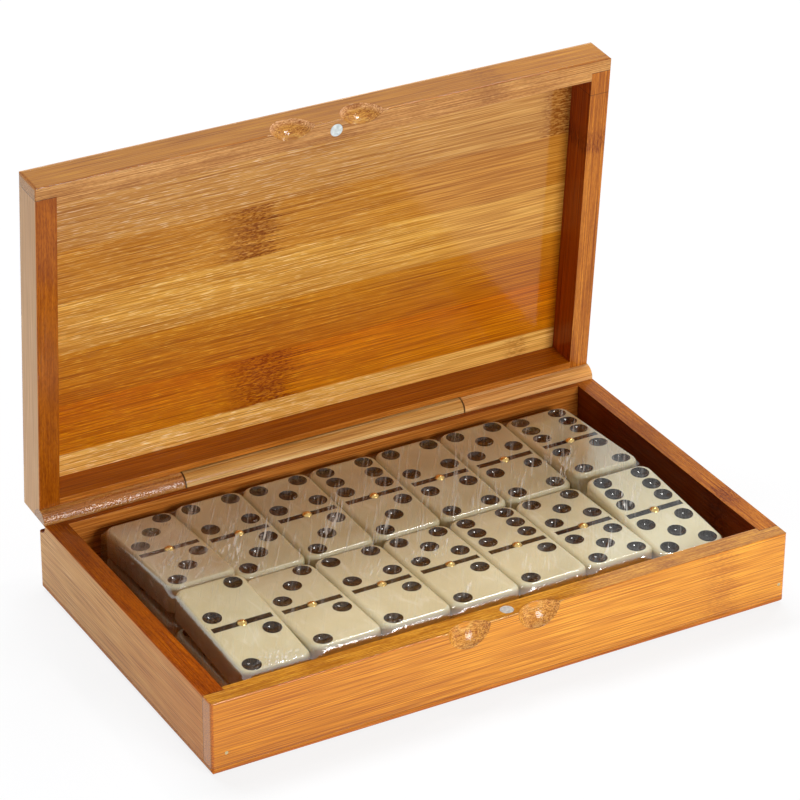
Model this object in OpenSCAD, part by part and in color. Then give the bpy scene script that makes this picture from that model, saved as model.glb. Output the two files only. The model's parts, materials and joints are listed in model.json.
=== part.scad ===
// Hinged bamboo storage box for a double-six domino set.
// The origin is the middle of the base's underside.
// +X runs along the hinge, +Y points to the hinge side, +Z is up.
// The lid's pieces are drawn closed, then turned open about the hinge axis.

/* [Box] */
// Room between the tile pack and the left wall
left_room = 9.9; // [6:0.1:25]
// Room between the tile pack and the right wall
right_room = 8.7; // [6:0.1:25]
// Room between the tile pack and the front wall
front_room = 5.85; // [4:0.05:15]
// Room between the tile pack and the back wall
back_room = 3.45; // [2:0.05:15]
// Height of the base, underside to rim
base_h = 25.5; // [24.5:0.5:40]
// Height of the lid, rim to top
lid_h = 14; // [11:0.5:24]
// Thickness of the four walls of the base and of the lid
wall_t = 7; // [6:0.25:8.5]
// Thickness of the bottom panel
bottom_panel_t = 3; // [2:0.25:3.5]
// Thickness of the top panel
top_panel_t = 2.9; // [2:0.1:4]
// How far the lid stands open
open_angle = 85.8; // [60:0.1:120]
// Gap between the two rims when the lid is shut
rim_gap = 0.2; // [0.1:0.05:0.5]

/* [Corners and edges] */
// Depth of the rabbet in each end of the base's front rail, where the side rail tucks in
base_rabbet_d = 1.75; // [0.5:0.25:3]
// Depth of the rabbet in each end of the lid's front rail
lid_rabbet_d = 2.75; // [0.5:0.25:4]
// Radius of the box's upright corners
corner_r = 1; // [0.5:0.25:2]
// Radius round the base's lower edges
base_edge_r = 2.5; // [0.5:0.1:3]
// Radius round the lid's top edges
lid_edge_r = 3.2; // [1:0.1:4]
// Radius round the outer edges of the two rims
rim_edge_r = 0.4; // [0.2:0.1:1]

/* [Knuckle hinge] */
// Radius of the hinge knuckles
knuckle_r = 3.7; // [3:0.1:4.5]
// Running clearance between a knuckle and the cove that it turns in
cove_clearance = 0.3; // [0.2:0.05:0.5]
// Length of the base's middle knuckle
middle_knuckle_l = 101.6; // [80:0.2:120]
// Gap between the ends of neighbouring knuckles
seam_gap = 0.3; // [0.2:0.1:1]
// Distance of the hinge axis from the rear face
hinge_inset = 0.9; // [0.8:0.1:1.5]
// Diameter of the hinge pins
hinge_pin_d = 1; // [0.8:0.1:1.2]
// Length of each hinge pin
hinge_pin_l = 24; // [12:1:40]
// Radial clearance of the hinge pins in their bores
hinge_pin_clearance = 0.03; // [0.02:0.01:0.1]

/* [Finger scoops and catch] */
// Radius of the ball that the finger scoops are cut with
scoop_ball_r = 9.6; // [8.8:0.1:10.4]
// Distance of the ball's centre in front of the front face
scoop_ball_offset = 6.1; // [5.6:0.1:6.6]
// Distance between the two finger scoops
scoop_spacing = 24.2; // [18:0.2:40]
// Sideways place of the middle of the two scoops
scoop_x = -1.8; // [-20:0.1:20]
// Diameter of the catch magnets
magnet_d = 4.2; // [3:0.1:5]
// Thickness of the catch magnets
magnet_t = 2.5; // [1:0.5:4]
// Sideways place of the magnets
magnet_x = 1; // [-20:0.1:20]
// Radial clearance of a magnet in its pocket
magnet_clearance = 0.05; // [0.02:0.01:0.2]

/* [Brads] */
// Diameter of the brads that pin the front rail of the base
brad_d = 1.1; // [0.8:0.1:1.6]
// Length of the brads
brad_l = 16; // [12:1:25]
// Distance of the left brad from the box's left face
left_brad_inset = 4.8; // [2:0.1:5]
// Distance of the right brad from the box's right face
right_brad_inset = 2; // [1.8:0.1:5]
// Height of the brads above the underside
brad_z = 7.4; // [5:0.1:12]

/* [Domino tiles] */
// Width of a tile
tile_w = 23.7; // [20:0.1:24]
// Length of a tile
tile_l = 47.6; // [42:0.1:48]
// Thickness of a tile
tile_t = 9.75; // [8:0.05:10.5]
// Radius of a tile's upright corners
tile_corner_r = 4; // [2.5:0.25:5]
// Radius of a tile's top and bottom edges
tile_edge_r = 1.6; // [0.5:0.1:2]
// Diameter of a pip
pip_d = 6; // [3:0.1:6.4]
// Depth of a pip
pip_depth = 1; // [0.3:0.1:1.4]
// Distance of the outer pips' centres from the tile's long sides
pip_side_inset = 4.85; // [4:0.05:5.5]
// Distance of the last row of pips from the tile's end
pip_end_inset = 4.3; // [4:0.05:5]
// Distance of the first row of pips from the tile's middle
pip_middle_inset = 5.95; // [5:0.05:6.2]
// Distance of the groove's ends from the tile's long sides
groove_inset = 1.8; // [1.7:0.1:6]
// Width of the groove
groove_w = 2.4; // [1:0.1:3]
// Depth of the groove
groove_depth = 0.5; // [0.3:0.1:1]
// Diameter of the brass spinner's head
spinner_d = 3.4; // [2.8:0.1:4]
// Height of the spinner's domed head
spinner_dome_h = 1.3; // [0.7:0.1:1.4]
// Diameter of the spinner's shank
spinner_shank_d = 1.2; // [0.8:0.1:1.6]
// Length of the spinner's shank
spinner_shank_l = 5; // [3:0.5:7]
// Radial clearance round the spinner
spinner_clearance = 0.03; // [0.02:0.01:0.1]

/* [Tile pack] */
// Gap between neighbouring tiles of a row
tile_gap = 0.25; // [0.1:0.05:0.5]
// Gap between the back row and the front row
row_gap = 0.5; // [0.4:0.1:1]
// Gap between the two layers, which the spinners of the lower one need
layer_gap = 0.5; // [0.5:0.05:1]
// How far each tile is turned in plan
tile_turn = 0.35; // [0:0.05:0.5]
// Tilt of the back row's end tiles, outer end down
back_corner_tilt = 3.9; // [0.9:0.1:4]
// Tilt of the front row's end tiles, outer end down
front_corner_tilt = 4.5; // [0.9:0.1:5]
// Tilt of the back row's other tiles, inner end down
back_middle_tilt = 1; // [0.9:0.1:2]
// Tilt of the front row's other tiles, inner end down
front_middle_tilt = 2; // [0.9:0.1:2.5]
// How far the end tiles of the two rows are spread apart
corner_spread = 1; // [0.9:0.1:1.5]
// How far the right-hand column has slid forward
right_slip = 1.7; // [0:0.1:2.5]
// How much further the front tile of the right-hand column has slid
right_slip_extra = 1.4; // [0:0.1:1.5]

/* [Hidden] */
$fn = 96;
// Extra length of every cut, so that it leaves its solid cleanly
over = 1;

columns = 7;
last_column = columns - 1;
tile_pitch = tile_w + tile_gap;
row_pitch = tile_l + row_gap;
pack_w = tile_w + last_column * tile_pitch;
pack_d = tile_l + row_pitch;

inner_w = left_room + pack_w + right_room;
inner_d = front_room + pack_d + back_room;
box_w = inner_w + 2 * wall_t;
box_d = inner_d + 2 * wall_t;

axis_y = box_d / 2 - hinge_inset;
axis_z = base_h + rim_gap / 2;
lid_rim_z = base_h + rim_gap;
lid_top_z = lid_rim_z + lid_h;
cove_r = knuckle_r + cove_clearance;
seam_x = middle_knuckle_l / 2;
cavity_front_y = -inner_d / 2;
cavity_back_y = inner_d / 2;
magnet_y = -box_d / 2 + wall_t / 2;

// Pips on each tile, back half first, left to right
upper_back = [[3, 3], [4, 3], [5, 3], [6, 3], [4, 4], [5, 4], [6, 4]];
upper_front = [[2, 2], [3, 2], [4, 2], [5, 2], [6, 2], [5, 5], [6, 5]];
lower_back = [[0, 0], [1, 0], [1, 1], [2, 0], [2, 1], [3, 0], [3, 1]];
lower_front = [[4, 0], [4, 1], [5, 0], [5, 1], [6, 0], [6, 1], [6, 6]];
upper_rows = [upper_back, upper_front];
lower_rows = [lower_back, lower_front];

function tile_name(pips) = str("tile_", pips[0], "_", pips[1]);
function names_in(rows) = [for (row = rows) for (pips = row) tile_name(pips)];

BOX_NODES = [
    "base_bottom_panel", "base_front_rail", "base_back_rail", "base_left_rail", "base_right_rail",
    "base_middle_knuckle", "base_magnet", "base_brads", "left_hinge_pin", "right_hinge_pin",
    "lid_top_panel", "lid_front_rail", "lid_back_rail", "lid_left_rail", "lid_right_rail",
    "lid_left_knuckle", "lid_right_knuckle", "lid_magnet",
    "upper_spinners", "lower_spinners"
];

// ---------- Shapes that several pieces share ----------

// A rectangle with four round corners, centred on the origin
module round_rect(w, h, r) {
    square([w - 2 * r, h], center = true);
    square([w, h - 2 * r], center = true);
    for (sx = [-1, 1], sy = [-1, 1])
        translate([sx * (w / 2 - r), sy * (h / 2 - r)])
            circle(r);
}

// A rectangle that stands on the X axis, with corners of radius low_r below and of high_r above
module round_profile(w, h, low_r, high_r) {
    translate([-w / 2, low_r])
        square([w, h - low_r - high_r]);
    translate([-w / 2 + low_r, 0])
        square([w - 2 * low_r, h - high_r]);
    translate([-w / 2 + high_r, low_r])
        square([w - 2 * high_r, h - low_r]);
    for (side = [-1, 1]) {
        translate([side * (w / 2 - low_r), low_r])
            circle(low_r);
        translate([side * (w / 2 - high_r), h - high_r])
            circle(high_r);
    }
}

// A block on z = 0 with round upright corners, lower edges of radius edge_r and a rim's edges above
module box_block(w, d, h, edge_r) {
    intersection() {
        linear_extrude(h)
            round_rect(w, d, corner_r);
        rotate([90, 0, 0])
            linear_extrude(d, center = true)
                round_profile(w, h, edge_r, rim_edge_r);
        rotate([90, 0, 90])
            linear_extrude(w, center = true)
                round_profile(d, h, edge_r, rim_edge_r);
    }
}

// The whole outside of the base, as one block
module base_block() {
    box_block(box_w, box_d, base_h, base_edge_r);
}

// The whole outside of the shut lid, as one block
module lid_block() {
    translate([0, 0, lid_top_z])
        mirror([0, 0, 1])
            box_block(box_w, box_d, lid_h, lid_edge_r);
}

// A box given by its lowest and its highest corner
module box_between(low, high) {
    translate(low)
        cube(high - low);
}

// A round bar on the hinge axis, from x0 to x1
module hinge_bar(x0, x1, r) {
    translate([x0, axis_y, axis_z])
        rotate([0, 90, 0])
            cylinder(h = x1 - x0, r = r);
}

// Turns pieces that are drawn shut to where the open lid holds them
module opened() {
    translate([0, axis_y, axis_z])
        rotate([-open_angle, 0, 0])
            translate([0, -axis_y, -axis_z])
                children();
}

// ---------- Outlines of the rails, from z0 to z1 ----------

// Front rail: full width, thinner at its ends where the side rails tuck into its rabbets
module front_rail_outline(rabbet_d, z0, z1) {
    box_between([-box_w / 2, -box_d / 2, z0], [box_w / 2, cavity_front_y - rabbet_d, z1]);
    box_between([-inner_w / 2, -box_d / 2, z0], [inner_w / 2, cavity_front_y, z1]);
}

// Back rail: fits between the side rails
module back_rail_outline(z0, z1) {
    box_between([-inner_w / 2, cavity_back_y, z0], [inner_w / 2, box_d / 2, z1]);
}

// Side rail: from the front rail's rabbet to the rear face; side is -1 on the left and 1 on the right
module side_rail_outline(side, rabbet_d, z0, z1) {
    x0 = side < 0 ? -box_w / 2 : inner_w / 2;
    box_between([x0, cavity_front_y - rabbet_d, z0], [x0 + wall_t, box_d / 2, z1]);
}

// ---------- Cuts ----------

// Finger scoops across the joint between the two front rails
module scoops() {
    for (side = [-1, 1])
        translate([scoop_x + side * scoop_spacing / 2, -box_d / 2 - scoop_ball_offset, axis_z])
            sphere(scoop_ball_r);
}

// Coves in the base: a seat for its own knuckle, and running room for the lid's two
module base_coves() {
    hinge_bar(-seam_x, seam_x, knuckle_r);
    hinge_bar(seam_x, box_w / 2 + over, cove_r);
    hinge_bar(-box_w / 2 - over, -seam_x, cove_r);
}

// Coves in the lid: running room for the base's knuckle, and seats for its own two
module lid_coves() {
    hinge_bar(-seam_x - seam_gap, seam_x + seam_gap, cove_r);
    hinge_bar(seam_x + seam_gap, box_w / 2 + over, knuckle_r);
    hinge_bar(-box_w / 2 - over, -seam_x - seam_gap, knuckle_r);
}

// A round bar across the seam on one side, as long as a hinge pin
module seam_bar(side, r) {
    middle_x = side * (seam_x + seam_gap / 2);
    hinge_bar(middle_x - hinge_pin_l / 2, middle_x + hinge_pin_l / 2, r);
}

// Blind bores for the two hinge pins
module pin_bores() {
    for (side = [-1, 1])
        seam_bar(side, hinge_pin_d / 2 + hinge_pin_clearance);
}

// Pocket for a magnet, from z0 upwards
module magnet_pocket(z0) {
    translate([magnet_x, magnet_y, z0])
        cylinder(h = magnet_t, r = magnet_d / 2 + magnet_clearance);
}

// Holes for the brads, through the front rail and into the side rails
module brad_holes() {
    for (x = [left_brad_inset - box_w / 2, box_w / 2 - right_brad_inset])
        translate([x, -box_d / 2, brad_z])
            rotate([-90, 0, 0])
                cylinder(h = brad_l, d = brad_d);
}

// ---------- Base ----------

bamboo = [0.80, 0.50, 0.22];
bamboo_dark = [0.66, 0.36, 0.15];

module base_bottom_panel() {
    color(bamboo_dark)
        intersection() {
            base_block();
            translate([-box_w / 2, -box_d / 2, 0])
                cube([box_w, box_d, bottom_panel_t]);
        }
}

module base_front_rail() {
    color(bamboo)
        difference() {
            intersection() {
                base_block();
                front_rail_outline(base_rabbet_d, bottom_panel_t, base_h);
            }
            scoops();
            magnet_pocket(base_h - magnet_t);
            brad_holes();
        }
}

module base_back_rail() {
    color(bamboo)
        difference() {
            intersection() {
                base_block();
                back_rail_outline(bottom_panel_t, base_h);
            }
            base_coves();
        }
}

module base_side_rail(side) {
    color(bamboo)
        difference() {
            intersection() {
                base_block();
                side_rail_outline(side, base_rabbet_d, bottom_panel_t, base_h);
            }
            base_coves();
            brad_holes();
        }
}

// A length of the split rod that the hinge is made of, flat at the rear face
module knuckle(x0, x1) {
    difference() {
        intersection() {
            hinge_bar(x0, x1, knuckle_r);
            box_between([x0, axis_y - cove_r, axis_z - cove_r], [x1, box_d / 2, axis_z + cove_r]);
            linear_extrude(lid_top_z)
                round_rect(box_w, box_d, corner_r);
        }
        pin_bores();
    }
}

module base_middle_knuckle() {
    color(bamboo)
        knuckle(-seam_x, seam_x);
}

module hinge_pin(side) {
    color("silver")
        seam_bar(side, hinge_pin_d / 2);
}

module base_magnet() {
    color("silver")
        translate([magnet_x, magnet_y, base_h - magnet_t])
            cylinder(h = magnet_t, d = magnet_d);
}

module base_brads() {
    color("gold")
        brad_holes();
}

// ---------- Lid ----------

module lid_top_panel() {
    color(bamboo)
        opened()
            intersection() {
                lid_block();
                translate([-box_w / 2, -box_d / 2, lid_top_z - top_panel_t])
                    cube([box_w, box_d, top_panel_t]);
            }
}

module lid_front_rail() {
    color(bamboo)
        opened()
            difference() {
                intersection() {
                    lid_block();
                    front_rail_outline(lid_rabbet_d, lid_rim_z, lid_top_z - top_panel_t);
                }
                scoops();
                magnet_pocket(lid_rim_z);
            }
}

module lid_back_rail() {
    color(bamboo)
        opened()
            difference() {
                intersection() {
                    lid_block();
                    back_rail_outline(lid_rim_z, lid_top_z - top_panel_t);
                }
                lid_coves();
            }
}

module lid_side_rail(side) {
    color(bamboo)
        opened()
            difference() {
                intersection() {
                    lid_block();
                    side_rail_outline(side, lid_rabbet_d, lid_rim_z, lid_top_z - top_panel_t);
                }
                lid_coves();
            }
}

module lid_left_knuckle() {
    color(bamboo)
        opened()
            knuckle(-box_w / 2, -seam_x - seam_gap);
}

module lid_right_knuckle() {
    color(bamboo)
        opened()
            knuckle(seam_x + seam_gap, box_w / 2);
}

module lid_magnet() {
    color("silver")
        opened()
            translate([magnet_x, magnet_y, lid_rim_z])
                cylinder(h = magnet_t, d = magnet_d);
}

// ---------- Domino tiles ----------

// Sideways distance of the outer pips from the tile's middle line
pip_column = tile_w / 2 - pip_side_inset;
// Distance of the middle of each half from the tile's centre, and of its outer rows of pips from there
half_centre = (tile_l / 2 - pip_end_inset + pip_middle_inset) / 2;
pip_row = (tile_l / 2 - pip_end_inset - pip_middle_inset) / 2;

// Where the pips of one half lie, in steps of pip_column and pip_row
function pip_spots(count) = concat(
    count % 2 == 1 ? [[0, 0]] : [],
    count >= 2 ? [[1, 1], [-1, -1]] : [],
    count >= 4 ? [[-1, 1], [1, -1]] : [],
    count == 6 ? [[-1, 0], [1, 0]] : []
);

// The ball that cuts a pip of the right width and depth
pip_ball_r = (pow(pip_d / 2, 2) + pow(pip_depth, 2)) / (2 * pip_depth);

module half_pips(count) {
    for (spot = pip_spots(count))
        translate([spot[0] * pip_column, spot[1] * pip_row, pip_ball_r - pip_depth])
            sphere(pip_ball_r);
}

// Section of a tile's rim: its inner side is on the Y axis, and its outer side is round above and below
module tile_rim_section() {
    intersection() {
        round_rect(2 * tile_corner_r, tile_t, tile_edge_r);
        translate([0, -tile_t / 2])
            square([tile_corner_r, tile_t]);
    }
}

// A plain tile with its top face on z = 0: a middle bar, two end bars, and a quarter turn at each corner
module tile_blank() {
    core_w = tile_w - 2 * tile_corner_r;
    core_l = tile_l - 2 * tile_corner_r;
    translate([0, 0, -tile_t / 2]) {
        rotate([90, 0, 0])
            linear_extrude(core_l, center = true)
                round_rect(tile_w, tile_t, tile_edge_r);
        for (end = [0, 180])
            rotate([0, 0, end])
                translate([0, core_l / 2, 0]) {
                    rotate([90, 0, 90])
                        linear_extrude(core_w, center = true)
                            tile_rim_section();
                    translate([core_w / 2, 0, 0])
                        rotate_extrude(angle = 90)
                            tile_rim_section();
                    translate([-core_w / 2, 0, 0])
                        rotate([0, 0, 90])
                            rotate_extrude(angle = 90)
                                tile_rim_section();
                }
    }
}

module domino(pips) {
    color("ivory")
        difference() {
            tile_blank();
            translate([0, half_centre, 0])
                half_pips(pips[0]);
            translate([0, -half_centre, 0])
                half_pips(pips[1]);
            translate([0, 0, -groove_depth / 2 + over / 2])
                cube([tile_w - 2 * groove_inset, groove_w, groove_depth + over], center = true);
            translate([0, 0, -groove_depth])
                cylinder(h = groove_depth + over, r = spinner_d / 2 + spinner_clearance);
            translate([0, 0, -groove_depth - spinner_shank_l])
                cylinder(h = spinner_shank_l + over, r = spinner_shank_d / 2 + spinner_clearance);
        }
}

// The ball that gives the spinner's head its dome
dome_ball_r = (pow(spinner_d / 2, 2) + pow(spinner_dome_h, 2)) / (2 * spinner_dome_h);

module spinner() {
    color("gold")
        translate([0, 0, -groove_depth]) {
            intersection() {
                translate([0, 0, spinner_dome_h - dome_ball_r])
                    sphere(dome_ball_r);
                cylinder(h = spinner_dome_h + over, d = spinner_d);
            }
            translate([0, 0, -spinner_shank_l])
                cylinder(h = spinner_shank_l + spinner_dome_h / 2, d = spinner_shank_d);
        }
}

// Row 0 is the back row and row 1 the front row
function is_end(column) = column == 0 || column == last_column;
function row_side(row) = row == 0 ? 1 : -1;
function spread(column) = is_end(column) ? corner_spread / 2 : 0;
function slip(row, column) = column == last_column ? right_slip + row * right_slip_extra : 0;
function tile_x(column) = -inner_w / 2 + left_room + tile_w / 2 + column * tile_pitch;
pack_y = cavity_front_y + front_room + pack_d / 2;
function row_y(row, column) = pack_y + row_side(row) * (row_pitch / 2 + spread(column));
function tile_y(row, column) = row_y(row, column) - slip(row, column);

// Tilt of an upper tile about X: positive lifts its back end
function corner_tilt(row) = row == 0 ? back_corner_tilt : front_corner_tilt;
function middle_tilt(row) = row == 0 ? back_middle_tilt : front_middle_tilt;
function upper_tilt(row, column) = row_side(row) * (is_end(column) ? -corner_tilt(row) : middle_tilt(row));

// Height of a tilted tile's top face at its centre, when its lower end rests on z = 0
function tilted_height(tilt) =
    (tile_l / 2 - tile_edge_r) * sin(abs(tilt)) + (tile_t - tile_edge_r) * cos(tilt) + tile_edge_r;

lower_top_z = bottom_panel_t + tile_t;
upper_rest_z = lower_top_z + layer_gap;

module in_lower_layer(row, column) {
    translate([tile_x(column), tile_y(row, column), lower_top_z])
        rotate([0, 0, tile_turn])
            children();
}

module in_upper_layer(row, column) {
    tilt = upper_tilt(row, column);
    translate([tile_x(column), tile_y(row, column), upper_rest_z + tilted_height(tilt)])
        rotate([tilt, 0, tile_turn])
            children();
}

module upper_spinners() {
    for (row = [0, 1], column = [0 : last_column])
        in_upper_layer(row, column)
            spinner();
}

module lower_spinners() {
    for (row = [0, 1], column = [0 : last_column])
        in_lower_layer(row, column)
            spinner();
}

// ---------- Assembly ----------

base_bottom_panel();
base_front_rail();
base_back_rail();
base_side_rail(-1);  // base_left_rail
base_side_rail(1);  // base_right_rail
base_middle_knuckle();
base_magnet();
base_brads();
hinge_pin(-1);  // left_hinge_pin
hinge_pin(1);  // right_hinge_pin
lid_top_panel();
lid_front_rail();
lid_back_rail();
lid_side_rail(-1);  // lid_left_rail
lid_side_rail(1);  // lid_right_rail
lid_left_knuckle();
lid_right_knuckle();
lid_magnet();
upper_spinners();
lower_spinners();
for (row = [0, 1], column = [0 : last_column]) {
    upper = upper_rows[row][column];
    lower = lower_rows[row][column];
    in_upper_layer(row, column) domino(upper);
    in_lower_layer(row, column) domino(lower);
}
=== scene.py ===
"""Looks for the domino storage box: bamboo, ivory tiles, painted pips, brass, magnets and the clear wrap."""

import json
import math

import bmesh
import bpy
import numpy as np
from mathutils import Matrix, Vector
from mathutils.bvhtree import BVHTree


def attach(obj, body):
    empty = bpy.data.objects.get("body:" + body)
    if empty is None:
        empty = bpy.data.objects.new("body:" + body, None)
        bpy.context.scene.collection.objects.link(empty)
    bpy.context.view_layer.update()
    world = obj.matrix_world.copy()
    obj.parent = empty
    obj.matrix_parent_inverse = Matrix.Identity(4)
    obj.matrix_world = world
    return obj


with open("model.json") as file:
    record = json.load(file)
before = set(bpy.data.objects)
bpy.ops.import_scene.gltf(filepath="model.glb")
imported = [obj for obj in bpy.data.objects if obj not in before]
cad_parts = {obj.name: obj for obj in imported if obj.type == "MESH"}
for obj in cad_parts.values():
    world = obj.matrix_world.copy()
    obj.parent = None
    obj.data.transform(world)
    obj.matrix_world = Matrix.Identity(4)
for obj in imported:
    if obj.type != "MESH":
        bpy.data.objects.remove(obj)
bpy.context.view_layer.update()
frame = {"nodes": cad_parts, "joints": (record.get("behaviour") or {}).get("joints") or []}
nodes = frame["nodes"]

MM = 0.001
HINGE = frame["joints"][0]
HINGE_POINT = Vector(HINGE["pos_m"])
OPEN_ANGLE = math.radians(HINGE["range_deg"][1])
UPPER_TILES = (
    ("3_3", "4_3", "5_3", "6_3", "4_4", "5_4", "6_4"),
    ("2_2", "3_2", "4_2", "5_2", "6_2", "5_5", "6_5"),
)
LOWER_TILES = (
    ("0_0", "1_0", "1_1", "2_0", "2_1", "3_0", "3_1"),
    ("4_0", "4_1", "5_0", "5_1", "6_0", "6_1", "6_6"),
)


# ---------- Node trees ----------


class Shader:
    """A material's node tree. Each call adds a node and returns the socket that the next one takes."""

    def __init__(self, name):
        self.material = bpy.data.materials.new(name)
        self.material.use_nodes = True
        self.tree = self.material.node_tree
        self.tree.nodes.clear()
        self.output = self.node("OutputMaterial")

    def node(self, kind, **settings):
        made = self.tree.nodes.new("ShaderNode" + kind)
        for name, value in settings.items():
            setattr(made, name, value)
        return made

    def put(self, socket, value):
        if isinstance(value, bpy.types.NodeSocket):
            self.tree.links.new(value, socket)
        elif value is not None:
            socket.default_value = value

    def math(self, operation, a, b=None, c=None):
        made = self.node("Math", operation=operation)
        for socket, value in zip(made.inputs, (a, b, c)):
            self.put(socket, value)
        return made.outputs[0]

    def times(self, a, b):
        return self.math("MULTIPLY", a, b)

    def vector_math(self, operation, a, b):
        made = self.node("VectorMath", operation=operation)
        self.put(made.inputs[0], a)
        self.put(made.inputs[1], b)
        return made.outputs[0]

    def turn(self, vector, centre, angle):
        """Turns a vector about the X axis through centre."""
        made = self.node("VectorRotate", rotation_type="X_AXIS")
        self.put(made.inputs["Vector"], vector)
        self.put(made.inputs["Center"], centre)
        self.put(made.inputs["Angle"], angle)
        return made.outputs[0]

    def split(self, vector):
        made = self.node("SeparateXYZ")
        self.put(made.inputs[0], vector)
        return made.outputs

    def join(self, x, y, z):
        made = self.node("CombineXYZ")
        for socket, value in zip(made.inputs, (x, y, z)):
            self.put(socket, value)
        return made.outputs[0]

    def place(self):
        """The place on the piece, in millimetres."""
        return self.vector_math("MULTIPLY", self.node("TexCoord").outputs["Object"], (1 / MM,) * 3)

    def noise(self, vector, scale=1.0, detail=2.0, rough=0.5, distortion=0.0):
        made = self.node("TexNoise")
        names = ("Vector", "Scale", "Detail", "Roughness", "Distortion")
        for name, value in zip(names, (vector, scale, detail, rough, distortion)):
            self.put(made.inputs[name], value)
        return made.outputs[0]

    def stretched_noise(self, vector, stretch, detail=2.0, rough=0.5, distortion=0.0):
        """Noise whose frequency along each axis is given by stretch."""
        return self.noise(self.vector_math("MULTIPLY", vector, stretch), 1.0, detail, rough, distortion)

    def fit(self, value, low, high, to_low=0.0, to_high=1.0, smooth=False):
        made = self.node("MapRange", interpolation_type="SMOOTHSTEP" if smooth else "LINEAR")
        for socket, item in zip(made.inputs, (value, low, high, to_low, to_high)):
            self.put(socket, item)
        return made.outputs[0]

    def mix(self, share, a, b, blend="MIX"):
        made = self.node("Mix", data_type="RGBA", blend_type=blend)
        self.put(made.inputs["Factor"], share)
        self.put(made.inputs[6], a)
        self.put(made.inputs[7], b)
        return made.outputs[2]

    def ramp(self, value, stops):
        """A colour ramp; stops are (position, colour)."""
        made = self.node("ValToRGB")
        ramp = made.color_ramp
        for index, (position, colour) in enumerate(stops):
            stop = ramp.elements[index] if index < 2 else ramp.elements.new(position)
            stop.position = position
            stop.color = (*colour, 1)
        self.put(made.inputs[0], value)
        return made.outputs[0]

    def bump(self, height, strength, distance, normal=None):
        made = self.node("Bump")
        self.put(made.inputs["Strength"], strength)
        self.put(made.inputs["Distance"], distance)
        self.put(made.inputs["Height"], height)
        self.put(made.inputs["Normal"], normal)
        return made.outputs[0]

    def between(self, value, low, high, soft):
        """1 between low and high and 0 outside, with edges as wide as soft."""
        rise = self.fit(value, low - soft / 2, low + soft / 2)
        fall = self.fit(value, high - soft / 2, high + soft / 2, 1.0, 0.0)
        return self.times(rise, fall)

    def principled(self, **inputs):
        made = self.node("BsdfPrincipled")
        for name, value in inputs.items():
            socket = made.inputs[name.replace("_", " ")]
            if isinstance(value, tuple) and len(value) == 3 and socket.type == "RGBA":
                value = (*value, 1)
            self.put(socket, value)
        return made

    def blend(self, share, a, b):
        """Mixes two shader nodes."""
        made = self.node("MixShader")
        self.put(made.inputs[0], share)
        self.put(made.inputs[1], a.outputs[0])
        self.put(made.inputs[2], b.outputs[0])
        return made

    def finish(self, surface):
        self.tree.links.new(surface, self.output.inputs["Surface"])
        return self.material


def add_object(name, data):
    """A new object in the scene."""
    made = bpy.data.objects.new(name, data)
    bpy.context.scene.collection.objects.link(made)
    return made


def box_space(shader, on_lid):
    """Place in millimetres and normal in the shut box's axes, which stay with the piece as the lid turns."""
    coordinates = shader.node("TexCoord").outputs
    place, normal = coordinates["Object"], coordinates["Normal"]
    if on_lid:
        place = shader.turn(place, HINGE_POINT, OPEN_ANGLE)
        normal = shader.turn(normal, (0, 0, 0), OPEN_ANGLE)
    return shader.vector_math("MULTIPLY", place, (1 / MM,) * 3), normal


# ---------- Bamboo ----------

# The laminated board: where its first whole strip starts, a strip's width, and the grain's shift between two
STRIP_START, STRIP_W, STRIP_SHIFT = -47.15, 18.4, 331.0
# A normal's share along an axis from which its surface begins to face that way, and from which it fully does
FACING = (0.6, 0.8)
# Tints that multiply the wood's colour
DARK_FIBRE = (0.62, 0.46, 0.28)
NODE_DASH = (0.46, 0.28, 0.13)
CUT_PORE = (0.60, 0.46, 0.30)
CUT_STREAK = (0.68, 0.55, 0.38)
PALE_FIBRE = (1.22, 1.42, 1.9)
# A painted highlight: the whitish tint of short fibres that seem to catch the light
PAINTED_GLINT = (1.28, 1.75, 4.2)
ARRIS = (0.92, 0.72, 0.45)
SCOOP_SPECK = (0.58, 0.38, 0.18)
SCOOP_REACH = (-23, 19)
SEAM_COLOUR = (0.03, 0.008, 0.002, 1)
EDGE_R = 0.3 * MM
GRAIN_DEPTH, LACQUER_DEPTH = 0.15 * MM, 0.08 * MM


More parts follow.
